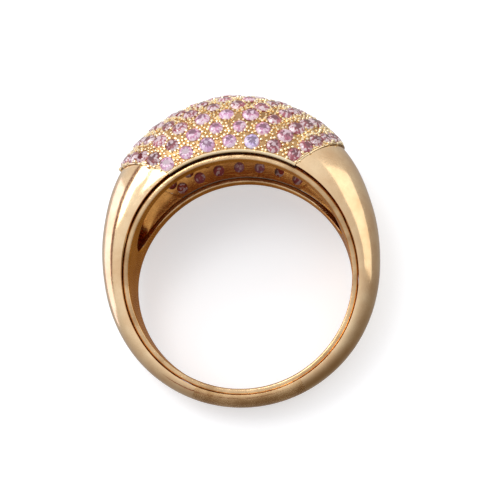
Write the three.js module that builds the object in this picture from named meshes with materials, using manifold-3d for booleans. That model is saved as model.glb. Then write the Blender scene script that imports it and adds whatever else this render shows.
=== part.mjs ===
// A domed pavé cocktail ring: two gold shoulders, a stone-set dome, a finger sleeve and a sizing insert.
// Millimetres, +Z up through the crown of the dome, Y along the finger, X across the hand.
// The origin is the centre of the finger hole.
import * as THREE from "three";
import { mergeVertices } from "three/addons/utils/BufferGeometryUtils.js";
import Module from "manifold-3d";

// Finger hole and sleeve.
const FINGER_RADIUS = 8.5;
const SLEEVE_THICKNESS = 0.45;
const SLEEVE_MARGIN = 0.15;
const JOINT_GAP = 0.03;
const WINDOW_HALF_ANGLE = 70;
const WINDOW_RAIL = 1.0;
const WINDOW_SQUARENESS = 6;

// Stations round the ring, in degrees from the crown, the same on both sides: [angle, value].
const CREST_RADIUS = [
  [0, 14.35],
  [25, 13.78],
  [45, 12.78],
  [65, 11.6],
  [90, 10.67],
  [135, 10.05],
  [180, 9.85],
];
const SHELL_HALF_WIDTH = [
  [0, 4.55],
  [45, 4.3],
  [90, 2.6],
  [135, 1.8],
  [180, 1.6],
];
const SLEEVE_HALF_WIDTH = [
  [0, 4.35],
  [45, 4.05],
  [90, 2.3],
  [135, 1.5],
  [180, 1.36],
];
const RIM_RADIUS = [
  [0, 9.12],
  [90, 9.02],
  [180, 9.0],
];

// Dome: how far its field stands proud of the shoulders, its wall, and where it ends on rim and crest,
// a little differently at its two ends.
const DOME_PROUD = 0.12;
const DOME_WALL = 1.2;
const DOME_RIGHT_END = { rim: 33, crest: 42 };
const DOME_LEFT_END = { rim: 31, crest: 44 };
const HOLLOW_END = 74;
const HOLLOW_RUNOUT = 28;

// Sizing insert soldered into the base of the shank.
const INSERT_HALF_ANGLE = 26;

// Stones: rows rise from the front rim to the crest row, which holds the crown stone.
// The stones of the first five rows are nodes, and the count of each row grows by one.
const CREST_ROW = 6;
const FIRST_ROW_SECTION = 8.7;
const ROW_STEP = (90 - FIRST_ROW_SECTION) / CREST_ROW;
const ROW_LETTERS = "abcde";
const STONES_IN_FIRST_ROW = 7;
const ROW_END_MARGIN = 0.78;
const STONE_RADIUS = 0.56;
const CROWN_STONE_RADIUS = 0.71;
const STONE_SIDES = 8;
const HOLE_SIDES = 6;
const SEAT_CLEARANCE = 0.02;

// Fineness of the faceted solids.
const SHOULDER_STEPS = 18;
const DOME_STEPS = 14;
const INSERT_STEPS = 6;
const SECTION_STEPS = 10;
const SLEEVE_STEPS = 60;

const ROSE_GOLD = new THREE.MeshStandardMaterial({ color: 0xc99a6b, roughness: 0.22, metalness: 1 });
const YELLOW_GOLD = new THREE.MeshStandardMaterial({ color: 0xd8a950, roughness: 0.3, metalness: 1 });
const WORN_GOLD = new THREE.MeshStandardMaterial({ color: 0xb58f63, roughness: 0.45, metalness: 1 });
const PINK_SAPPHIRE = new THREE.MeshStandardMaterial({ color: 0xc98bb0, roughness: 0.05, metalness: 0 });

const wasm = await Module();
wasm.setup();

const radians = THREE.MathUtils.degToRad;
const mix = THREE.MathUtils.lerp;
const sleeveOuterRadius = FINGER_RADIUS + SLEEVE_THICKNESS;
const underside = sleeveOuterRadius + JOINT_GAP;

// Value at an angle from the crown, on a smooth curve through the stations and level at both ends.
function along(stations, angle) {
  const a = Math.min(Math.abs(angle), 360 - Math.abs(angle));
  const last = stations.length - 1;
  let k = 0;
  while (k < last - 1 && a > stations[k + 1][0]) k += 1;
  const slope = (i) => {
    if (i === 0 || i === last) return 0;
    const [before, after] = [stations[i - 1], stations[i + 1]];
    return (after[1] - before[1]) / (after[0] - before[0]);
  };
  const [a0, v0] = stations[k];
  const [a1, v1] = stations[k + 1];
  const span = a1 - a0;
  const t = (a - a0) / span;
  const rise = t * t * (3 - 2 * t);
  const leave = t * (1 - t) * (1 - t) * span * slope(k);
  const arrive = t * t * (t - 1) * span * slope(k + 1);
  return mix(v0, v1, rise) + leave + arrive;
}

// Point at an angle round the ring, a distance from its axis and a place along the finger.
function ringPoint(angle, radius, y) {
  return new THREE.Vector3(radius * Math.sin(radians(angle)), y, radius * Math.cos(radians(angle)));
}

// Point on the domed outside. The section angle is 0 on the front rim, 90 on the crest, 180 on the rear rim.
function outsidePoint(angle, section, proud = 0) {
  const rim = along(RIM_RADIUS, angle);
  const crest = along(CREST_RADIUS, angle) + proud;
  const width = along(SHELL_HALF_WIDTH, angle);
  const radius = rim + (crest - rim) * Math.sin(radians(section));
  return ringPoint(angle, radius, -width * Math.cos(radians(section)));
}

// Point on the inside of the wall: arched under the hollow dome, level on the sleeve where it is solid.
function insidePoint(angle, section, hollow, proud = 0) {
  const arch = along(CREST_RADIUS, angle) + proud - DOME_WALL - underside;
  const flatWidth = along(SLEEVE_HALF_WIDTH, angle) + SLEEVE_MARGIN;
  const archWidth = along(SHELL_HALF_WIDTH, angle) - DOME_WALL;
  const width = mix(flatWidth, archWidth, hollow);
  const radius = underside + hollow * arch * Math.sin(radians(section));
  return ringPoint(angle, radius, -width * Math.cos(radians(section)));
}

function domeEnd(section, side) {
  const end = side > 0 ? DOME_RIGHT_END : DOME_LEFT_END;
  return mix(end.rim, end.crest, Math.sin(radians(section)));
}

// A block whose corners and faces are carried to new places: u runs along, v across, w from inside to outside.
function bentBlock(steps, across, place) {
  const block = new THREE.BoxGeometry(1, 1, 1, steps, across, 1);
  const position = block.getAttribute("position");
  const corner = new THREE.Vector3();
  for (let i = 0; i < position.count; i += 1) {
    corner.fromBufferAttribute(position, i).addScalar(0.5);
    const p = place(corner.x, corner.y, corner.z);
    position.setXYZ(i, p.x, p.y, p.z);
  }
  return block;
}

function solidOf(geometry) {
  const bare = new THREE.BufferGeometry().setAttribute("position", geometry.getAttribute("position").clone());
  if (geometry.index) bare.setIndex(geometry.index.clone());
  const merged = mergeVertices(bare, 1e-4);
  return new wasm.Manifold(
    new wasm.Mesh({
      numProp: 3,
      vertProperties: merged.getAttribute("position").array,
      triVerts: new Uint32Array(merged.index.array),
    }),
  );
}

function geometryOf(solid) {
  const mesh = solid.getMesh();
  const geometry = new THREE.BufferGeometry();
  geometry.setAttribute("position", new THREE.BufferAttribute(new Float32Array(mesh.vertProperties), 3));
  geometry.setIndex(new THREE.BufferAttribute(new Uint32Array(mesh.triVerts), 1));
  geometry.computeVertexNormals();
  return geometry;
}

// How hollow a shoulder is: fully under the dome, closing to solid gold down the shank.
function hollowness(angle) {
  return 1 - THREE.MathUtils.smoothstep(angle, HOLLOW_END - HOLLOW_RUNOUT, HOLLOW_END);
}

function shoulder(side) {
  const seam = 180 - INSERT_HALF_ANGLE;
  return bentBlock(SHOULDER_STEPS, SECTION_STEPS, (u, v, w) => {
    const section = 180 * (side > 0 ? v : 1 - v);
    const start = domeEnd(section, side) + 0.25;
    const angle = mix(start, seam, u);
    const p =
      w > 0.5 ? outsidePoint(angle, section) : insidePoint(angle, section, hollowness(angle));
    p.x *= side;
    return p;
  });
}

function dome() {
  return bentBlock(DOME_STEPS, SECTION_STEPS, (u, v, w) => {
    const section = 180 * v;
    const angle = mix(-domeEnd(section, -1), domeEnd(section, 1), u);
    return w > 0.5
      ? outsidePoint(angle, section, DOME_PROUD)
      : insidePoint(angle, section, 1, DOME_PROUD);
  });
}

function sizingInsert() {
  const start = 180 - INSERT_HALF_ANGLE + 0.25;
  return bentBlock(INSERT_STEPS, SECTION_STEPS, (u, v, w) => {
    const angle = mix(start, 360 - start, u);
    const section = 180 * v;
    return w > 0.5 ? outsidePoint(angle, section) : insidePoint(angle, section, 0);
  });
}

// Finger sleeve: a closed band, wider under the dome, with a window pierced through beneath the stones.
function fingerSleeve() {
  const profile = [
    new THREE.Vector2(FINGER_RADIUS, -1),
    new THREE.Vector2(sleeveOuterRadius, -1),
    new THREE.Vector2(sleeveOuterRadius, 1),
    new THREE.Vector2(FINGER_RADIUS, 1),
    new THREE.Vector2(FINGER_RADIUS, -1),
  ];
  const band = new THREE.LatheGeometry(profile, SLEEVE_STEPS);
  const position = band.getAttribute("position");
  for (let i = 0; i < position.count; i += 1) {
    const angle = THREE.MathUtils.radToDeg(Math.atan2(position.getX(i), position.getZ(i)));
    position.setY(i, position.getY(i) * along(SLEEVE_HALF_WIDTH, angle));
  }
  const window = bentBlock(28, 2, (u, v, w) => {
    const reach = 2 * u - 1;
    const angle = WINDOW_HALF_ANGLE * reach;
    const taper = Math.sqrt(Math.max(1 - Math.abs(reach) ** WINDOW_SQUARENESS, 0.01));
    const halfWidth = (along(SLEEVE_HALF_WIDTH, angle) - WINDOW_RAIL) * taper;
    return ringPoint(angle, mix(FINGER_RADIUS - 0.5, sleeveOuterRadius + 0.5, w), halfWidth * (2 * v - 1));
  });
  return solidOf(band).subtract(solidOf(window));
}

// Stone with a table, eight crown and eight pavilion facets. Its girdle is at z = 0 and its table is up.
function brilliant(radius) {
  const profile = [
    new THREE.Vector2(0, -0.94 * radius),
    new THREE.Vector2(radius, -0.05 * radius),
    new THREE.Vector2(radius, 0.05 * radius),
    new THREE.Vector2(0.56 * radius, 0.34 * radius),
    new THREE.Vector2(0, 0.34 * radius),
  ];
  return new THREE.LatheGeometry(profile, STONE_SIDES).rotateX(Math.PI / 2);
}

// Drill for the open hole that a stone sits in, right through the dome's wall.
function seatDrill(radius) {
  const corner = (radius + SEAT_CLEARANCE) / Math.cos(Math.PI / HOLE_SIDES);
  const profile = [
    new THREE.Vector2(0, -1.8 * DOME_WALL),
    new THREE.Vector2(corner, -1.8 * DOME_WALL),
    new THREE.Vector2(corner, 0.6 * DOME_WALL),
    new THREE.Vector2(0, 0.6 * DOME_WALL),
  ];
  return new THREE.LatheGeometry(profile, HOLE_SIDES).rotateX(Math.PI / 2);
}

// Seat on the dome: its place, the turn that points a stone outwards there, and the stone's radius.
function seatAt(angle, section, radius) {
  const here = outsidePoint(angle, section, DOME_PROUD);
  const round = outsidePoint(angle + 0.5, section, DOME_PROUD).sub(here);
  const across = outsidePoint(angle, section + 0.5, DOME_PROUD).sub(here);
  const outward = round.cross(across).normalize();
  const tilt = new THREE.Quaternion().setFromUnitVectors(new THREE.Vector3(0, 0, 1), outward);
  return { here, tilt, radius };
}

// Named seats: each row is spread evenly between the dome's two ends, and the crown stone stands on top.
function stoneSeats() {
  const seats = new Map();
  [...ROW_LETTERS].forEach((letter, row) => {
    const section = FIRST_ROW_SECTION + ROW_STEP * row;
    const margin = THREE.MathUtils.radToDeg(ROW_END_MARGIN / outsidePoint(0, section).length());
    const [leftmost, rightmost] = [margin - domeEnd(section, -1), domeEnd(section, 1) - margin];
    const count = STONES_IN_FIRST_ROW + row;
    for (let i = 0; i < count; i += 1) {
      const angle = mix(leftmost, rightmost, i / (count - 1));
      seats.set(`stone_${letter}${String(i + 1).padStart(2, "0")}`, seatAt(angle, section, STONE_RADIUS));
    }
  });
  seats.set("crown_stone", seatAt(0, 90, CROWN_STONE_RADIUS));
  return seats;
}

const ring = new THREE.Group();

function addNode(name, geometry, material) {
  const mesh = new THREE.Mesh(geometry, material);
  mesh.name = name;
  ring.add(mesh);
  return mesh;
}

addNode("right_shoulder", shoulder(1), ROSE_GOLD);
addNode("left_shoulder", shoulder(-1), ROSE_GOLD);
addNode("sizing_insert", sizingInsert(), WORN_GOLD);
addNode("finger_sleeve", geometryOf(fingerSleeve()), ROSE_GOLD);

let drilledDome = solidOf(dome());
for (const [name, seat] of stoneSeats()) {
  const place = new THREE.Matrix4().compose(seat.here, seat.tilt, new THREE.Vector3(1, 1, 1));
  drilledDome = drilledDome.subtract(solidOf(seatDrill(seat.radius).applyMatrix4(place)));
  const stone = addNode(name, brilliant(seat.radius), PINK_SAPPHIRE);
  stone.position.copy(seat.here);
  stone.quaternion.copy(seat.tilt);
}
addNode("pave_dome", geometryOf(drilledDome), YELLOW_GOLD);

export default ring;
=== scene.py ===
import math
import random
from itertools import product

import bpy
from mathutils import Matrix, Vector


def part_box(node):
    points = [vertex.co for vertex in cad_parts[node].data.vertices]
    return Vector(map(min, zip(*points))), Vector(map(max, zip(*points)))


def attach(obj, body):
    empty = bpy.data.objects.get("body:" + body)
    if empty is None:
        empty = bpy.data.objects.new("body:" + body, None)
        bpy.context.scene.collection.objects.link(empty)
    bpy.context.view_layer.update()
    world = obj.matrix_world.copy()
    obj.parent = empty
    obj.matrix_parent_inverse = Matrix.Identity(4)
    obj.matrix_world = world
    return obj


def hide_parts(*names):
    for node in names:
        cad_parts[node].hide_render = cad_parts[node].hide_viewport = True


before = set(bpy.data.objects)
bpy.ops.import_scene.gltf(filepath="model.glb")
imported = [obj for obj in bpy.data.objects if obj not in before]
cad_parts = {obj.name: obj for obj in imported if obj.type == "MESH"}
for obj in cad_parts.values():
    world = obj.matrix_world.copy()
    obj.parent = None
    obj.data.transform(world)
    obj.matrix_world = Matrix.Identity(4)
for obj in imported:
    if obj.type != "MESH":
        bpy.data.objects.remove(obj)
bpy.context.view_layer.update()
scene = bpy.context.scene


# The view: the ring is seen along the finger, from a little below its centre and a little to its right,
# and it leans a few degrees to the left. Lengths here and below are in millimetres until a piece is finished.
MM = 0.001
CAMERA_DISTANCE = 100
CAMERA_TO_THE_RIGHT = math.radians(4.5)
CAMERA_BELOW = math.radians(9)
RING_LEAN = math.radians(4.0)
AIM_RIGHT_OF_CENTRE = 0.6
AIM_ABOVE_CENTRE = 2.31
LENS = 92.9
SENSOR_WIDTH = 36
NEAREST_SEEN = 0.001

eye_direction = Vector((
    math.sin(CAMERA_TO_THE_RIGHT) * math.cos(CAMERA_BELOW),
    -math.cos(CAMERA_TO_THE_RIGHT) * math.cos(CAMERA_BELOW),
    -math.sin(CAMERA_BELOW),
))
eye = CAMERA_DISTANCE * eye_direction
level = Vector((math.cos(CAMERA_TO_THE_RIGHT), math.sin(CAMERA_TO_THE_RIGHT), 0))
upright = eye_direction.cross(level)
sideways = math.cos(RING_LEAN) * level - math.sin(RING_LEAN) * upright
upwards = math.sin(RING_LEAN) * level + math.cos(RING_LEAN) * upright
aim = AIM_RIGHT_OF_CENTRE * sideways + AIM_ABOVE_CENTRE * upwards
backwards = (eye - aim).normalized()
sideways = upwards.cross(backwards).normalized()
upwards = backwards.cross(sideways)

camera_data = bpy.data.cameras.new("camera")
camera_data.lens = LENS
camera_data.sensor_width = SENSOR_WIDTH
camera_data.clip_start = NEAREST_SEEN
camera = bpy.data.objects.new("camera", camera_data)
camera_turn = Matrix((sideways, upwards, backwards)).transposed()
camera.matrix_world = Matrix.Translation(eye * MM) @ camera_turn.to_4x4()
scene.collection.objects.link(camera)
scene.camera = camera


# Finger sleeve: the band of rose-yellow gold that lies on the finger, wide under the dome and narrow at the
# base. It is rolled up from sheet, pierced with a long window under the stones and soldered into the shells.
SLEEVE_THICKNESS = 0.45
SLEEVE_MARGIN = 0.15
SLEEVE_HALF_WIDTH = [(0, 4.35), (45, 4.05), (90, 2.3), (135, 1.5), (180, 1.36)]
WINDOW_HALF_ANGLE = 70
WINDOW_RAIL = 1.0
WINDOW_SQUARENESS = 6
SLEEVE_COLUMNS = 288
RAIL_ROWS = 5
SLEEVE_EDGE = 0.14
EDGE_SEGMENTS = 4
DOUBLES_WITHIN = 0.0005
sleeve_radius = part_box("finger_sleeve")[1][0] / MM


def mix(a, b, share):
    return a + (b - a) * share


# Value at an angle from the crown, in degrees, on a smooth curve through the stations, level at both ends.
def along(stations, angle):
    turned = min(abs(angle), 360 - abs(angle))
    last = len(stations) - 1
    k = 0
    while k < last - 1 and turned > stations[k + 1][0]:
        k += 1

    def slope(i):
        if i in (0, last):
            return 0
        return (stations[i + 1][1] - stations[i - 1][1]) / (stations[i + 1][0] - stations[i - 1][0])

    (start, value), (end, next_value) = stations[k], stations[k + 1]
    span = end - start
    t = (turned - start) / span
    leave = t * (1 - t) ** 2 * span * slope(k)
    arrive = t * t * (t - 1) * span * slope(k + 1)
    return mix(value, next_value, t * t * (3 - 2 * t)) + leave + arrive


def ring_point(angle, radius, y):
    return Vector((radius * math.sin(math.radians(angle)), y, radius * math.cos(math.radians(angle))))


def only(piece):
    bpy.ops.object.select_all(action="DESELECT")
    piece.select_set(True)
    bpy.context.view_layer.objects.active = piece


# Selects the edges or faces that the test picks, and opens the piece for editing with nothing else selected.
def edit(piece, edges=None, faces=None):
    only(piece)
    mesh = piece.data
    bpy.context.tool_settings.mesh_select_mode = (False, edges is not None, edges is None)
    for parts in (mesh.vertices, mesh.edges, mesh.polygons):
        parts.foreach_set("select", [False] * len(parts))
    if edges:
        for edge in mesh.edges:
            a, b = (mesh.vertices[i].co for i in edge.vertices)
            edge.select = edges(a, b)
    if faces:
        for face in mesh.polygons:
            face.select = faces(face)
    bpy.ops.object.mode_set(mode="EDIT")


def end_edit():
    bpy.ops.object.mode_set(mode="OBJECT")


def carry(piece, place):
    for vertex in piece.data.vertices:
        vertex.co = place(*vertex.co)


# Merges doubles and turns the faces outwards.
def close_up(piece):
    edit(piece)
    bpy.ops.mesh.select_all(action="SELECT")
    bpy.ops.mesh.remove_doubles(threshold=DOUBLES_WITHIN)
    bpy.ops.mesh.normals_make_consistent(inside=False)
    end_edit()


def modify(piece, kind, **settings):
    only(piece)
    modifier = piece.modifiers.new(kind, kind)
    for name, value in settings.items():
        setattr(modifier, name, value)
    bpy.ops.object.modifier_apply(modifier=modifier.name)


# Rounds the edges that are sharper than an angle, as a file and a polishing stick do.
def round_edges(piece, width, sharper_than):
    limit = math.radians(sharper_than)
    modify(piece, "BEVEL", width=width, segments=EDGE_SEGMENTS, limit_method="ANGLE", angle_limit=limit)


# Brings a piece from millimetres to metres, gives it its finish, hangs it on the root body and hides the
# nodes it stands for.
def hand_over(piece, finish, nodes, smooth=35):
    piece.data.transform(Matrix.Scale(MM, 4))
    if not piece.data.materials:
        piece.data.materials.append(finish)
    if smooth:
        only(piece)
        bpy.ops.object.shade_smooth_by_angle(angle=math.radians(smooth))
    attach(piece, "root")
    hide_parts(*nodes)


class Wire:
    """An output of a shader node. Arithmetic with it adds Math nodes."""

    def __init__(self, finish, socket):
        self.finish = finish
        self.socket = socket

    def __add__(self, other):
        return self.finish.maths("ADD", self, other)

    def __radd__(self, other):
        return self.finish.maths("ADD", other, self)

    def __sub__(self, other):
        return self.finish.maths("SUBTRACT", self, other)

    def __rsub__(self, other):
        return self.finish.maths("SUBTRACT", other, self)

    def __mul__(self, other):
        return self.finish.maths("MULTIPLY", self, other)

    def __rmul__(self, other):
        return self.finish.maths("MULTIPLY", other, self)

    def __pow__(self, other):
        return self.finish.maths("POWER", self, other)

    def clipped(self):
        return self.finish.maths("MAXIMUM", self.finish.maths("MINIMUM", self, 1.0), 0.0)


class Finish:
    """A material under construction."""

    def __init__(self, name):
        self.material = bpy.data.materials.new(name)
        self.material.use_nodes = True
        self.tree = self.material.node_tree
        self.tree.nodes.clear()

    def node(self, kind, settings=None, sockets=None, output=0):
        node = self.tree.nodes.new(kind)
        for name, value in (settings or {}).items():
            if name == "stops":
                elements = node.color_ramp.elements
                elements[0].position, elements[0].color = value[0]
                elements[-1].position, elements[-1].color = value[-1]
                for place, colour in value[1:-1]:
                    elements.new(place).color = colour
            else:
                setattr(node, name, value)
        for name, value in (sockets or {}).items():
            if isinstance(value, Wire):
                self.tree.links.new(value.socket, node.inputs[name])
            else:
                node.inputs[name].default_value = value
        if node.outputs:
            return Wire(self, node.outputs[output])

    def maths(self, operation, *values):
        return self.node("ShaderNodeMath", {"operation": operation}, dict(enumerate(values)))

    def blend(self, share, first, second):
        return self.node("ShaderNodeMix", {"data_type": "RGBA"}, {0: share, 6: first, 7: second}, output=2)

    # Place on the piece in millimetres, stretched and turned, so that a pattern's scale is per millimetre.
    def place(self, stretch=(1, 1, 1), turn=(0, 0, 0)):
        here = self.node("ShaderNodeTexCoord", output="Object")
        scale = tuple(s / MM for s in stretch)
        angles = tuple(math.radians(a) for a in turn)
        return self.node("ShaderNodeMapping", None, {"Vector": here, "Rotation": angles, "Scale": scale})

    def noise(self, place, scale, detail=3.0, roughness=0.5):
        sockets = {"Vector": place, "Scale": scale, "Detail": detail, "Roughness": roughness}
        return self.node("ShaderNodeTexNoise", None, sockets, output=0)

    def ramp(self, share, *stops):
        full = [(place, (value, value, value, 1)) for place, value in stops]
        return self.node("ShaderNodeValToRGB", {"stops": full}, {"Fac": share})

    # Unevenness of the surface, from heights in millimetres.
    def bump(self, height):
        return self.node("ShaderNodeBump", None, {"Height": height, "Distance": MM, "Strength": 1.0})

    def surface(self, sockets):
        self.outcome(self.node("ShaderNodeBsdfPrincipled", None, sockets))
        return self.material

    def outcome(self, shader):
        self.node("ShaderNodeOutputMaterial", None, {"Surface": shader})


# Gold with soft dents, fine ripples, hairline scratches in two directions, a few pits and a cloudy tint
# from wear. The tint goes from light to deep, and dents and ripples are heights in millimetres.
PIT_DARK = (0.10, 0.05, 0.02)
PIT_DEPTH = 0.02
SCRATCH_DEPTH = 0.002


def gold(name, light, deep, dents, ripples, scratches, dullness, edge=(1, 1, 1)):
    finish = Finish(name)
    here = finish.place()
    clouds = finish.noise(here, 0.45, 4.0, 0.6)
    tint = finish.ramp(clouds, (0.35, 0.0), (0.68, 1.0))
    smears = finish.noise(here, 1.6, 6.0, 0.65)
    long_scratch = finish.noise(finish.place((0.35, 9, 5), (12, 24, 31)), 2.2, 2.0, 0.6)
    cross_scratch = finish.noise(finish.place((7, 0.3, 8), (-20, 14, 52)), 2.4, 2.0, 0.6)
    lines = finish.ramp(long_scratch, (0.60, 0.0), (0.66, 1.0))
    cross_lines = finish.ramp(cross_scratch, (0.62, 0.0), (0.68, 1.0))
    marks = (lines * 0.6 + cross_lines * 0.4).clipped()
    from_pit = finish.node("ShaderNodeTexVoronoi", {"feature": "F1"}, {"Vector": here, "Scale": 0.42})
    pits = finish.ramp(from_pit, (0.022, 1.0), (0.045, 0.0))
    hollows = finish.noise(here, 0.32, 2.0, 0.4)
    colour = finish.blend(tint, (*light, 1), (*deep, 1))
    colour = finish.blend(pits * 0.7, colour, (*PIT_DARK, 1))
    roughness = dullness + smears * 0.06 + marks * 0.10 * scratches
    height = hollows * dents + smears * ripples - marks * SCRATCH_DEPTH * scratches - pits * PIT_DEPTH
    return finish.surface({
        "Base Color": colour,
        "Metallic": 1.0,
        "Specular Tint": (*edge, 1),
        "Roughness": roughness,
        "Normal": finish.bump(height),
    })


# Gives a piece one finish all over and another on the faces that the test picks.
def two_finishes(piece, finish, other_finish, picks):
    piece.data.materials.append(finish)
    piece.data.materials.append(other_finish)
    for face in piece.data.polygons:
        face.material_index = 1 if picks(face) else 0


# A face of the sleeve's inner or outer wall, not of its front or rear edge.
def is_wall(face):
    return abs(face.normal.y) < 0.7


# Inside the ring the gold is left rougher, and its deep orange-brown is painted shade for gold that reflects
# only gold.
shaded_inside_gold = gold(
    "shaded_inside_gold", (0.84, 0.44, 0.13), (0.60, 0.27, 0.07), 0.05, 0.006, 2.0, 0.22, edge=(0.75, 0.48, 0.28)
)
sleeve_gold = gold("sleeve_gold", (0.80, 0.57, 0.33), (0.48, 0.30, 0.15), 0.05, 0.022, 1.6, 0.13)


def window_half_width(angle):
    reach = abs(angle) / WINDOW_HALF_ANGLE
    if reach >= 1:
        return 0
    taper = math.sqrt(1 - reach ** WINDOW_SQUARENESS)
    return (along(SLEEVE_HALF_WIDTH, angle) - WINDOW_RAIL) * taper


bpy.ops.object.select_all(action="DESELECT")
bpy.ops.mesh.primitive_cylinder_add(
    vertices=SLEEVE_COLUMNS, radius=sleeve_radius, depth=2,
    end_fill_type="NOTHING", rotation=(math.pi / 2, 0, 0),
)
sleeve = bpy.context.object
sleeve.name = "sleeve"
bpy.ops.object.transform_apply(location=True, rotation=True, scale=True)
edit(sleeve, edges=lambda a, b: abs(a.y - b.y) > 1)
bpy.ops.mesh.subdivide(number_cuts=2 * RAIL_ROWS - 2)
end_edit()
row_height = 2 / (2 * RAIL_ROWS - 1)
edit(sleeve, faces=lambda face: abs(face.center.y) < row_height / 2)
bpy.ops.mesh.delete(type="FACE")
end_edit()


# The middle row is the window, and the rows in front of it and behind it spread from its edge to the rims.
def sleeve_place(x, y, z):
    angle = math.degrees(math.atan2(x, z))
    share = (abs(y) - row_height / 2) / (1 - row_height / 2)
    reach = mix(window_half_width(angle), along(SLEEVE_HALF_WIDTH, angle), share)
    return Vector((x, math.copysign(reach, y), z))


carry(sleeve, sleeve_place)
close_up(sleeve)
modify(sleeve, "SOLIDIFY", thickness=SLEEVE_THICKNESS, offset=-1, use_even_offset=True)
two_finishes(sleeve, sleeve_gold, shaded_inside_gold, is_wall)
round_edges(sleeve, SLEEVE_EDGE, 50)
hand_over(sleeve, sleeve_gold, ["finger_sleeve"])


# Shoulders: the two halves of the shell, cast in rose-yellow gold and polished. Each starts at the dome's
# end, hollow like the dome, and runs down into the solid D-section shank, where it is soldered to the sizing
# insert.
CREST_RADIUS = [(0, 14.35), (25, 13.78), (45, 12.78), (65, 11.6), (90, 10.67), (135, 10.05), (180, 9.85)]
SHELL_HALF_WIDTH = [(0, 4.55), (45, 4.3), (90, 2.6), (135, 1.8), (180, 1.6)]
RIM_RADIUS = [(0, 9.12), (90, 9.02), (180, 9.0)]
JOINT_GAP = 0.03
DOME_WALL = 1.2
DOME_RIGHT_END = (33, 42)
DOME_LEFT_END = (31, 44)
HOLLOW_END = 74
HOLLOW_RUNOUT = 28
INSERT_HALF_ANGLE = 26
SEAM = 0.02
SHELL_EDGE = 0.09
SHOULDER_STEPS = (90, 44)
underside = sleeve_radius + JOINT_GAP


# The section angle is 0 on the front rim, 90 on the crest and 180 on the rear rim.
def outside_point(angle, section, proud=0.0):
    rim = along(RIM_RADIUS, angle)
    crest = along(CREST_RADIUS, angle) + proud
    radius = rim + (crest - rim) * math.sin(math.radians(section))
    return ring_point(angle, radius, -along(SHELL_HALF_WIDTH, angle) * math.cos(math.radians(section)))


# Inside of the wall: arched under the hollow dome, level on the sleeve where the shank is solid.
def inside_point(angle, section, hollow, proud=0.0):
    arch = along(CREST_RADIUS, angle) + proud - DOME_WALL - underside
    flat_width = along(SLEEVE_HALF_WIDTH, angle) + SLEEVE_MARGIN
    arch_width = along(SHELL_HALF_WIDTH, angle) - DOME_WALL
    width = mix(flat_width, arch_width, hollow)
    radius = underside + hollow * arch * math.sin(math.radians(section))
    return ring_point(angle, radius, -width * math.cos(math.radians(section)))


# Where the dome meets the shoulder on one side: the first angle is on the rim and the second on the crest.
def dome_end(section, side):
    at_rim, at_crest = DOME_RIGHT_END if side > 0 else DOME_LEFT_END
    return mix(at_rim, at_crest, math.sin(math.radians(section)))


# How hollow the wall is: 1 under the dome and 0 down the shank, with a smooth run-out between.
def hollowness(angle):
    t = min(max((angle - HOLLOW_END + HOLLOW_RUNOUT) / HOLLOW_RUNOUT, 0), 1)
    return 1 - t * t * (3 - 2 * t)


# A face of a straight bar that comes to lie inside the ring.
def is_underside(face):
    return face.center.z < 0.01


# A straight bar of one unit each way, cut into even steps along and across, ready to be bent.
def straight_bar(name, steps_along, steps_across):
    bpy.ops.object.select_all(action="DESELECT")
    bpy.ops.mesh.primitive_cube_add(size=1, location=(0.5, 0.5, 0.5))
    piece = bpy.context.object
    piece.name = name
    bpy.ops.object.transform_apply(location=True, rotation=True, scale=True)
    edit(piece, edges=lambda a, b: abs(a.x - b.x) > 0.5)
    bpy.ops.mesh.subdivide(number_cuts=steps_along - 1)
    end_edit()
    edit(piece, edges=lambda a, b: abs(a.y - b.y) > 0.5)
    bpy.ops.mesh.subdivide(number_cuts=steps_across - 1)
    end_edit()
    return piece


polished_gold = gold("polished_gold", (0.95, 0.73, 0.46), (0.82, 0.56, 0.32), 0.08, 0.003, 0.8, 0.10)

for side, name in ((1, "right"), (-1, "left")):
    shoulder = straight_bar(f"{name}_shell", *SHOULDER_STEPS)
    two_finishes(shoulder, polished_gold, shaded_inside_gold, is_underside)

    def shoulder_place(u, v, w):
        section = 180 * v
        angle = mix(dome_end(section, side) + SEAM, 180 - INSERT_HALF_ANGLE, u)
        if w > 0.5:
            point = outside_point(angle, section)
        else:
            point = inside_point(angle, section, hollowness(angle))
        return Vector((side * point.x, point.y, point.z))

    carry(shoulder, shoulder_place)
    close_up(shoulder)
    round_edges(shoulder, SHELL_EDGE, 40)
    hand_over(shoulder, polished_gold, [f"{name}_shoulder"])


# Sizing insert: the length of gold wire let into the base of the shank when the ring was sized. It is filed
# to the shank's section and soldered at both ends, and years on the hand have brushed and dulled it.
INSERT_STEPS = (32, 32)
worn_gold = gold("worn_gold", (0.98, 0.70, 0.40), (0.54, 0.31, 0.13), 0.06, 0.020, 4.0, 0.17)
insert = straight_bar("base_insert", *INSERT_STEPS)


def insert_place(u, v, w):
    start = 180 - INSERT_HALF_ANGLE + SEAM
    angle = mix(start, 360 - start, u)
    if w > 0.5:
        return outside_point(angle, 180 * v)
    return inside_point(angle, 180 * v, 0)


carry(insert, insert_place)
close_up(insert)
round_edges(insert, SHELL_EDGE, 40)
hand_over(insert, worn_gold, ["sizing_insert"])


# Pave dome: the domed plate of yellow gold that carries the stones. Every seat is drilled right through and
# opened out behind, then beads are raised from the metal between the seats with a graver and rounded over the
# stones' edges.
DOME_PROUD = 0.12
DOME_STEPS = (76, 60)
CREST_ROW = 6
FIRST_ROW_SECTION = 8.7
ROW_STEP = (90 - FIRST_ROW_SECTION) / CREST_ROW
STONES_IN_FIRST_ROW = 7
FEWER_ON_CREST = 2
ROW_END_MARGIN = 0.78
STONE_RADIUS = 0.56
STONE_SPREAD = (0.95, 1.16)
CROWN_STONE_RADIUS = 0.71
CROWN_STONE_LIFT = 0.2
SEAT_CLEARANCE = 0.015
chance = random.Random(7)


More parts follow.
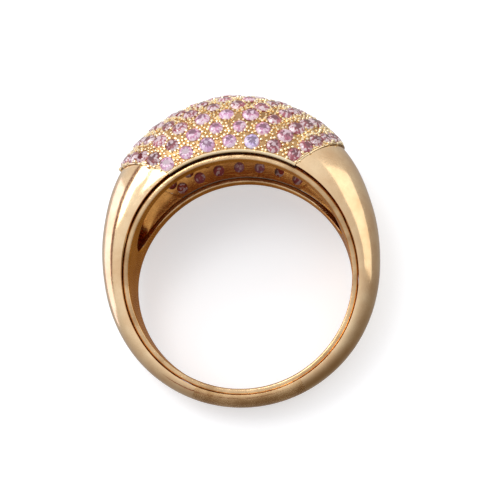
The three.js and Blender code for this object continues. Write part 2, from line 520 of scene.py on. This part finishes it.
# Frame of a place on the dome: X along the row, Y across the rows, Z outwards.
def dome_frame(angle, section):
    here = outside_point(angle, section, DOME_PROUD)
    row = (outside_point(angle + 0.5, section, DOME_PROUD) - here).normalized()
    across = outside_point(angle, section + 0.5, DOME_PROUD) - here
    outward = row.cross(across).normalized()
    turn = Matrix((row, outward.cross(row), outward)).transposed()
    return Matrix.Translation(here) @ turn.to_4x4()


# Rows of stones from the front rim over the crest to the rear rim: (row, angle, section, radius) each.
def stone_row(row):
    step = min(row, 2 * CREST_ROW - row)
    section = FIRST_ROW_SECTION + ROW_STEP * row
    margin = math.degrees(ROW_END_MARGIN / outside_point(0, section).length)
    leftmost, rightmost = margin - dome_end(section, -1), dome_end(section, 1) - margin
    count = STONES_IN_FIRST_ROW + step
    if row == CREST_ROW:
        count -= FEWER_ON_CREST
        leftmost, rightmost = (end * (1 - 1 / count) for end in (leftmost, rightmost))
    seats = []
    for i in range(count):
        angle = mix(leftmost, rightmost, i / (count - 1))
        crown = row == CREST_ROW and i == count // 2
        radius = CROWN_STONE_RADIUS if crown else STONE_RADIUS * chance.uniform(*STONE_SPREAD)
        seats.append((angle, section, radius))
    return seats


stone_rows = [stone_row(row) for row in range(2 * CREST_ROW + 1)]


def join(name, pieces):
    bpy.ops.object.select_all(action="DESELECT")
    for piece in pieces:
        piece.select_set(True)
    bpy.context.view_layer.objects.active = pieces[0]
    bpy.ops.object.join()
    pieces[0].name = name
    return pieces[0]


def copy_to(pattern, matrix):
    piece = pattern.copy()
    piece.data = pattern.data.copy()
    piece.data.transform(matrix)
    scene.collection.objects.link(piece)
    return piece


# One gold in two colours: the beads and threads carry a paler painted highlight, and the plate between them a
# darker painted shade.
bright_gold = gold("bright_gold", (0.98, 0.86, 0.62), (0.92, 0.72, 0.44), 0.05, 0.001, 1.5, 0.07)
shaded_ground_gold = gold("shaded_ground_gold", (0.60, 0.38, 0.18), (0.32, 0.17, 0.07), 0.05, 0.010, 4.0, 0.22)
dome = straight_bar("dome_plate", *DOME_STEPS)
two_finishes(dome, shaded_ground_gold, shaded_inside_gold, is_underside)


def dome_place(u, v, w):
    section = 180 * v
    angle = mix(-dome_end(section, -1), dome_end(section, 1), u)
    if w > 0.5:
        return outside_point(angle, section, DOME_PROUD)
    return inside_point(angle, section, 1, DOME_PROUD)


carry(dome, dome_place)
close_up(dome)

# Drill: straight where the stone's edge sits, tapered under it and straight again to the back. The profile
# gives its width and its height as shares of the seat's.
DRILL_PROFILE = [(1.0, 0.5), (1.0, -0.12), (0.72, -0.42), (0.72, -2.35)]
DRILL_SIDES = 14
bpy.ops.object.select_all(action="DESELECT")
bpy.ops.mesh.primitive_circle_add(vertices=DRILL_SIDES, radius=DRILL_PROFILE[0][0], fill_type="NGON")
drill = bpy.context.object
edit(drill)
bpy.ops.mesh.select_all(action="SELECT")
bpy.ops.transform.translate(value=(0, 0, DRILL_PROFILE[0][1]))
for (width, height), (next_width, next_height) in zip(DRILL_PROFILE, DRILL_PROFILE[1:]):
    bpy.ops.mesh.extrude_region_move(TRANSFORM_OT_translate={"value": (0, 0, next_height - height)})
    spread = next_width / width
    bpy.ops.transform.resize(value=(spread, spread, 1))
end_edit()
close_up(drill)

# Neighbouring rows are drilled one after the other, because their holes can meet behind the stones.
for rows in (stone_rows[0::2], stone_rows[1::2]):
    drills = []
    for angle, section, radius in (seat for seats in rows for seat in seats):
        width, depth = radius + SEAT_CLEARANCE, STONE_RADIUS + SEAT_CLEARANCE
        size = Matrix.Diagonal((width, width, depth, 1))
        drills.append(copy_to(drill, dome_frame(angle, section) @ size))
    drill_set = join("drill_set", drills)
    modify(dome, "BOOLEAN", operation="DIFFERENCE", object=drill_set, solver="EXACT")
    bpy.data.objects.remove(drill_set)
bpy.data.objects.remove(drill)

# Threads: two fine lines cut along each end of the field, and one along each rim. Each is a thin round wire
# sunk into the plate. Its route gives the angle and the section at a share of its length.
THREAD_RADIUS = 0.065
THREAD_PLACES = (0.35, 1.25)
THREAD_STEPS = 60
THREAD_SIDES = 8
THREAD_END_SECTION = 2
RIM_THREAD_INSET = 0.3
RIM_THREAD_RADIUS = 0.13
RIM_THREAD_SECTION = 0.3


def thread(radius, route):
    bpy.ops.object.select_all(action="DESELECT")
    bpy.ops.mesh.primitive_cylinder_add(vertices=THREAD_SIDES, radius=radius, depth=1, location=(0, 0, 0))
    piece = bpy.context.object
    edit(piece, edges=lambda a, b: abs(a.z - b.z) > 0.5)
    bpy.ops.mesh.subdivide(number_cuts=THREAD_STEPS - 1)
    end_edit()
    ahead = 0.001
    for vertex in piece.data.vertices:
        x, y, share = vertex.co.x, vertex.co.y, vertex.co.z + 0.5
        here, there = dome_frame(*route(share)), dome_frame(*route(share + ahead))
        outward = here.col[2].xyz
        forward = (there.translation - here.translation).normalized()
        vertex.co = here.translation + x * forward.cross(outward) + y * outward
    close_up(piece)
    piece.data.materials.append(bright_gold)
    return piece


def end_route(side, inset):
    def route(share):
        section = mix(THREAD_END_SECTION, 180 - THREAD_END_SECTION, share)
        return side * (dome_end(section, side) - inset), section
    return route


def rim_route(section):
    def route(share):
        left, right = RIM_THREAD_INSET - dome_end(section, -1), dome_end(section, 1) - RIM_THREAD_INSET
        return mix(left, right, share), section
    return route


raised = [thread(THREAD_RADIUS, end_route(side, inset)) for side in (1, -1) for inset in THREAD_PLACES]
for section in (RIM_THREAD_SECTION, 180 - RIM_THREAD_SECTION):
    raised.append(thread(RIM_THREAD_RADIUS, rim_route(section)))

# Beads: a ring of them round each stone, and more wherever there is still room for one between the seats.
# No two are alike: each has its own place and size, and stands a little taller than it is wide.
BEAD_RADIUS = 0.135
BEAD_SPREAD = (0.75, 1.35)
BEAD_HEIGHT = 1.2
BEAD_SINK = 0.02
BEAD_OUT = 0.06
BEAD_OUT_SPREAD = (0.7, 2.2)
BEAD_OUT_LEAST = 0.6
BEAD_TURN_SPREAD = 12
BEAD_SPACING = 0.225
BEADS_PER_STONE = 10
BEADS_ABOVE_RIM = 0.03
FILL_TRIES = 6000
FILL_SECTIONS = (1.5, 178.5)
FILL_INSET = 1.6
bpy.ops.object.select_all(action="DESELECT")
bpy.ops.mesh.primitive_uv_sphere_add(segments=8, ring_count=5, radius=1)
bead = bpy.context.object
bead.data.materials.append(bright_gold)
seat_centres = [
    (dome_frame(angle, section).translation, radius)
    for seats in stone_rows for angle, section, radius in seats
]
wanted = []
for seats in stone_rows:
    for angle, section, radius in seats:
        seat = dome_frame(angle, section)
        first = chance.uniform(0, 360 / BEADS_PER_STONE)
        for k in range(BEADS_PER_STONE):
            stray = chance.uniform(-BEAD_TURN_SPREAD, BEAD_TURN_SPREAD)
            turned = math.radians(first + 360 / BEADS_PER_STONE * k + stray)
            reach = radius + BEAD_OUT * chance.uniform(*BEAD_OUT_SPREAD)
            spot = Vector((reach * math.cos(turned), reach * math.sin(turned), -BEAD_SINK))
            wanted.append(seat @ Matrix.Translation(spot))
for _ in range(FILL_TRIES):
    section = chance.uniform(*FILL_SECTIONS)
    leftmost, rightmost = FILL_INSET - dome_end(section, -1), dome_end(section, 1) - FILL_INSET
    wanted.append(dome_frame(chance.uniform(leftmost, rightmost), section))

# Beads are filed by the cell that each lies in, so that only near ones are compared.
cells = {}
for there in wanted:
    place = there.translation
    angle = math.degrees(math.atan2(place.x, place.z))
    if math.hypot(place.x, place.z) < along(RIM_RADIUS, angle) + BEAD_RADIUS + BEADS_ABOVE_RIM:
        continue
    if any((place - centre).length < radius + BEAD_OUT * BEAD_OUT_LEAST for centre, radius in seat_centres):
        continue
    cell = tuple(math.floor(c / BEAD_SPACING) for c in place)
    around = [tuple(c + d for c, d in zip(cell, step)) for step in product((-1, 0, 1), repeat=3)]
    near = [other for neighbour in around for other in cells.get(neighbour, ())]
    if any((place - other).length < BEAD_SPACING for other in near):
        continue
    cells.setdefault(cell, []).append(place)
    size = BEAD_RADIUS * chance.uniform(*BEAD_SPREAD)
    raised.append(copy_to(bead, there @ Matrix.Diagonal((size, size, size * BEAD_HEIGHT, 1))))
bpy.data.objects.remove(bead)
dome = join("dome_plate", [dome, *raised])
hand_over(dome, bright_gold, ["pave_dome"])


# Stones: small round brilliants of lilac, pink and garnet-red sapphire, the palest at the front and the
# deepest towards the edges and the top. Each drops into its seat and is held by the beads round it.
GIRDLE = 0.04
TABLE = (0.56, 0.34)
STAR = (0.80, 0.218)
LOWER = (0.30, -0.69)
CULET = (0.04, -0.94)
EIGHTH = math.radians(45)
PALETTE = [
    (0.00, (0.66, 0.53, 0.90)),
    (0.25, (0.66, 0.32, 0.54)),
    (0.50, (0.42, 0.09, 0.13)),
    (0.75, (0.27, 0.045, 0.06)),
    (1.00, (0.22, 0.03, 0.03)),
]
CROWN_STONE_COLOUR = (0.80, 0.77, 0.86)
DEEPER_TOWARDS_ENDS = 0.66
DEEPER_TOWARDS_CREST = 0.70
FRONT_PALENESS = 0.08
DEPTH_SPREAD = 0.24
# Facet colours that are painted light: a painted shade colour and a painted highlight colour.
PAINTED_SHADE_FACET = (0.055, 0.008, 0.012)
PAINTED_HIGHLIGHT_FACET = (0.97, 0.93, 0.99)
# The backs: a deeper garnet that is painted shade, painted flashes of light, and a painted glow.
SHADED_GARNET_BACK = (0.42, 0.06, 0.02)
PAINTED_BACK_FLASH = (0.86, 0.60, 0.58)
PAINTED_BACK_GLOW = 0.14
SEAT_TILT = 3


def stone_colour(depth):
    depth = min(max(depth, 0), 1)
    k = 0
    while k < len(PALETTE) - 2 and depth > PALETTE[k + 1][0]:
        k += 1
    (start, first), (end, second) = PALETTE[k], PALETTE[k + 1]
    share = (depth - start) / (end - start)
    return [mix(a, b, share) for a, b in zip(first, second)]


bpy.ops.object.select_all(action="DESELECT")
bpy.ops.mesh.primitive_circle_add(vertices=16, radius=1)
brilliant = bpy.context.object
edit(brilliant)
bpy.ops.mesh.select_all(action="SELECT")
bpy.ops.transform.translate(value=(0, 0, GIRDLE))
for sides, (radius, height), turned in (
    (16, (1, -GIRDLE), 0),
    (8, TABLE, 0),
    (8, STAR, EIGHTH / 2),
    (8, LOWER, EIGHTH / 2),
    (8, CULET, 0),
):
    bpy.ops.mesh.primitive_circle_add(
        vertices=sides, radius=radius, location=(0, 0, height), rotation=(0, 0, turned)
    )
bpy.ops.mesh.select_all(action="SELECT")
bpy.ops.mesh.convex_hull()
bpy.ops.mesh.select_all(action="SELECT")
bpy.ops.mesh.dissolve_limited(angle_limit=math.radians(1))
end_edit()
close_up(brilliant)
while brilliant.data.uv_layers:
    brilliant.data.uv_layers.remove(brilliant.data.uv_layers[0])


# A copy of the brilliant in its seat. Its UV map is the place on the stone, -1 to 1 each way, and its
# colour attribute holds the stone's colour, with 0 in the fourth channel under the girdle and 1 above it.
def set_stone(name, angle, section, radius, lift, colour):
    turned = Matrix.Rotation(chance.uniform(0, math.tau), 4, "Z")
    tilt = Matrix.Rotation(math.radians(chance.uniform(-SEAT_TILT, SEAT_TILT)), 4, chance.choice("XY"))
    stone = copy_to(brilliant, tilt @ turned)
    stone.name = name
    mesh = stone.data
    facets = mesh.uv_layers.new(name="facets")
    shades = mesh.color_attributes.new(name="shades", type="FLOAT_COLOR", domain="POINT")
    for loop in mesh.loops:
        point = mesh.vertices[loop.vertex_index].co
        facets.data[loop.index].uv = (point.x, point.y)
    for vertex, shade in zip(mesh.vertices, shades.data):
        shade.color = (*colour, 1.0 if vertex.co.z > 0 else 0.0)
    mesh.transform(dome_frame(angle, section) @ Matrix.Translation((0, 0, lift)) @ Matrix.Scale(radius, 4))
    return stone


# Facets that catch the light or lose it, by their place on the stone, as painted highlights and painted
# shade. The table is painted darker at its lower edge, and light that falls in through a stone leaves by its
# back, so the backs carry a faint painted glow.
def sapphire():
    finish = Finish("sapphire")
    shades = finish.node("ShaderNodeVertexColor", {"layer_name": "shades"}, output="Color")
    above = finish.node("ShaderNodeVertexColor", {"layer_name": "shades"}, output="Alpha")
    facets = finish.node("ShaderNodeUVMap", {"uv_map": "facets"})
    across = finish.node("ShaderNodeSeparateXYZ", None, {"Vector": facets}, output="X")
    up = finish.node("ShaderNodeSeparateXYZ", None, {"Vector": facets}, output="Y")
    distance = (across * across + up * up) ** 0.5
    turned = finish.maths("ARCTAN2", up, across)
    points = finish.maths("PINGPONG", turned * (8 / math.tau), 0.5) * 2
    grid = finish.place((1, 1, 1), (20, 35, 10))
    sockets = {"Vector": grid, "Scale": 4.6, "Randomness": 1.0}
    cells = finish.node("ShaderNodeTexVoronoi", {"feature": "F1"}, sockets, output="Color")
    flash = finish.node("ShaderNodeSeparateColor", None, {"Color": cells}, output="Red")
    spark = finish.node("ShaderNodeSeparateColor", None, {"Color": cells}, output="Green")
    whim = finish.noise(finish.place(), 0.9, 1.0, 0.5)
    # Painted shade over the table, and a painted play of light and shade over the other facets.
    table = finish.ramp(distance + (points - 0.5) * 0.16, (0.52, 1.0), (0.60, 0.0))
    glow = 0.54 - up * 0.40 + (flash - 0.5) * 0.8 + (points - 0.5) * 0.35
    painted_table_shade = (table * (0.60 + up * 0.9 + (whim - 0.5) * 2.2 + (flash - 0.5) * 0.6)).clipped()
    glow = (glow - painted_table_shade * 0.85).clipped()
    dark = finish.blend(0.74, shades, (*PAINTED_SHADE_FACET, 1))
    pale = finish.blend(0.54, shades, (*PAINTED_HIGHLIGHT_FACET, 1))
    low = finish.blend(finish.ramp(glow, (0.04, 0.0), (0.52, 1.0)), dark, shades)
    # Painted glints in scattered cells, and painted highlights where the painted light level is high.
    sparkle = finish.ramp(spark, (0.76, 0.0), (0.80, 0.75))
    bright = (finish.ramp(glow, (0.72, 0.0), (0.92, 1.0)) + sparkle).clipped()
    face = finish.blend(bright, low, pale)
    # Painted shade: the backs are deepened towards garnet, with painted flashes of light in some cells.
    back = finish.blend(0.80, shades, (*SHADED_GARNET_BACK, 1))
    back = finish.blend(finish.ramp(flash, (0.66, 0.0), (0.74, 0.8)), back, (*PAINTED_BACK_FLASH, 1))
    colour = finish.blend(above, back, face)
    # A painted glow on the backs below the girdle, though the stones are no lamp.
    lit_back = finish.blend(above, back, (0, 0, 0, 1))
    return finish.surface({
        "Base Color": colour,
        "Roughness": 0.06,
        "IOR": 1.77,
        "Specular IOR Level": 0.5,
        "Coat Weight": 0.25,
        "Coat Roughness": 0.02,
        "Emission Color": lit_back,
        "Emission Strength": PAINTED_BACK_GLOW,
    })


sapphire_finish = sapphire()
nodes = set(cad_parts)
for row, seats in enumerate(stone_rows):
    letter = "abcdefg"[min(row, 2 * CREST_ROW - row)]
    stones = []
    stand_ins = []
    for i, (angle, section, radius) in enumerate(seats):
        crown = radius == CROWN_STONE_RADIUS
        edge = abs(angle) / DOME_RIGHT_END[1]
        height = math.sin(math.radians(section))
        depth = DEEPER_TOWARDS_ENDS * edge + DEEPER_TOWARDS_CREST * height - FRONT_PALENESS
        depth += chance.uniform(-DEPTH_SPREAD, DEPTH_SPREAD)
        colour = CROWN_STONE_COLOUR if crown else stone_colour(depth)
        stone = set_stone("stone", angle, section, radius, CROWN_STONE_LIFT if crown else 0, colour)
        node = "crown_stone" if crown else f"stone_{letter}{i + 1:02d}"
        if crown:
            stone.name = "crown_brilliant"
            hand_over(stone, sapphire_finish, [node], smooth=0)
            continue
        stones.append(stone)
        if row < CREST_ROW and node in nodes:
            stand_ins.append(node)
    side = "front" if row < CREST_ROW else "crest" if row == CREST_ROW else "rear"
    joined = join(f"stones_{side}_{letter}", stones)
    hand_over(joined, sapphire_finish, stand_ins, smooth=0)
bpy.data.objects.remove(brilliant)


# Floor and light: the ring lies on its rear face on a plain white table. A tall window, a lamp and a key
# light stand at the upper left, with a pale wall beyond them, and a broad soft light stands at the right. The
# table is seen from its upper side only.
FLOOR_TILT = math.radians(9)
FLOOR_SIZE = 600
FLOOR_CLEARANCE = 0.02
TABLE_COLOUR = (0.72, 0.73, 0.75)
TABLE_GLOW_COLOUR = (0.94, 0.97, 1.0)
TABLE_GLOW = 0.44
viewer_side = Vector((0, -math.cos(FLOOR_TILT), math.sin(FLOOR_TILT)))
lowest = max(
    ring_point(angle, along(RIM_RADIUS, angle), along(SHELL_HALF_WIDTH, angle)).dot(-viewer_side)
    for angle in range(0, 181, 5)
)
bpy.ops.object.select_all(action="DESELECT")
bpy.ops.mesh.primitive_plane_add(size=FLOOR_SIZE * MM)
table = bpy.context.object
table.name = "table"
table.location = -viewer_side * (lowest + FLOOR_CLEARANCE) * MM
table.rotation_mode = "QUATERNION"
table.rotation_quaternion = viewer_side.to_track_quat("Z", "Y")
cloth = Finish("table_white")
under = cloth.node("ShaderNodeNewGeometry", output="Backfacing")
paper = {
    "Base Color": (*TABLE_COLOUR, 1),
    "Roughness": 1.0,
    "Emission Color": (*TABLE_GLOW_COLOUR, 1),
    "Emission Strength": TABLE_GLOW,
}
white = cloth.node("ShaderNodeBsdfPrincipled", None, paper)
clear = cloth.node("ShaderNodeBsdfTransparent")
cloth.outcome(cloth.node("ShaderNodeMixShader", None, {0: under, 1: white, 2: clear}))
table.data.materials.append(cloth.material)
table.visible_glossy = False


# A rectangular light turned towards the ring. Its brightness doesn't change with its size.
def softbox(name, place, width, height, brightness, colour=(1, 1, 1)):
    data = bpy.data.lights.new(name, "AREA")
    data.shape = "RECTANGLE"
    data.size = width * MM
    data.size_y = height * MM
    data.color = colour
    data.energy = brightness * math.pi * width * MM * height * MM
    lamp = bpy.data.objects.new(name, data)
    lamp.location = Vector(place) * MM
    lamp.rotation_mode = "QUATERNION"
    lamp.rotation_quaternion = Vector(place).to_track_quat("Z", "Y")
    lamp.visible_camera = False
    scene.collection.objects.link(lamp)


softbox("key", (-50, -125, 65), 60, 60, 4.0)
softbox("window_left", (-114, -54, 82), 55, 124, 2.3)
softbox("lamp_left", (-84, -68, 73), 30, 30, 4.0)
softbox("wall_left", (-130, 42, 30), 100, 110, 0.90, (1.0, 0.88, 1.14))
softbox("strip_right", (132, -40, 36), 130, 120, 0.76, (1.0, 0.97, 0.88))


# Dark strips of card: one beside the window draws a brown line down the polished shoulder, and one below
# the ring draws a red-brown line along the shank.
def card(name, place, width, height, colour):
    bpy.ops.object.select_all(action="DESELECT")
    bpy.ops.mesh.primitive_plane_add(size=MM)
    piece = bpy.context.object
    piece.name = name
    piece.scale = (width, height, 1)
    piece.location = Vector(place) * MM
    piece.rotation_mode = "QUATERNION"
    piece.rotation_quaternion = Vector(place).to_track_quat("Z", "Y")
    board = Finish(name)
    board.surface({"Base Color": (*colour, 1), "Roughness": 1.0})
    piece.data.materials.append(board.material)
    piece.visible_camera = False


card("dark_low", (-40, -60, -110), 150, 22, (0.20, 0.08, 0.04))
card("dark_strip", (-94, -16, 44), 23, 110, (0.26, 0.14, 0.11))

# The room: white above and to the left, warm and dim below and to the right.
BRIGHT_SIDE = Vector((-0.36, -0.60, 0.70)).normalized()
DIM_COLOUR = (0.17, 0.125, 0.08, 1)
BRIGHT_COLOUR = (1.06, 1.05, 1.06, 1)


class Room(Finish):
    """The surroundings under construction."""

    def __init__(self, name):
        self.world = bpy.data.worlds.new(name)
        self.world.use_nodes = True
        self.tree = self.world.node_tree
        self.tree.nodes.clear()


room = Room("room")
direction = room.node("ShaderNodeTexCoord", output="Generated")
turned_to = {0: direction, 1: BRIGHT_SIDE}
facing = room.node("ShaderNodeVectorMath", {"operation": "DOT_PRODUCT"}, turned_to, output="Value")
half = room.node("ShaderNodeMapRange", None, {"Value": facing, "From Min": -1})
shade = room.node("ShaderNodeValToRGB", {"stops": [(0, DIM_COLOUR), (1, BRIGHT_COLOUR)]}, {"Fac": half})
backdrop = room.node("ShaderNodeBackground", None, {"Color": shade})
room.node("ShaderNodeOutputWorld", None, {"Surface": backdrop})
scene.world = room.world
scene.view_settings.view_transform = "Standard"
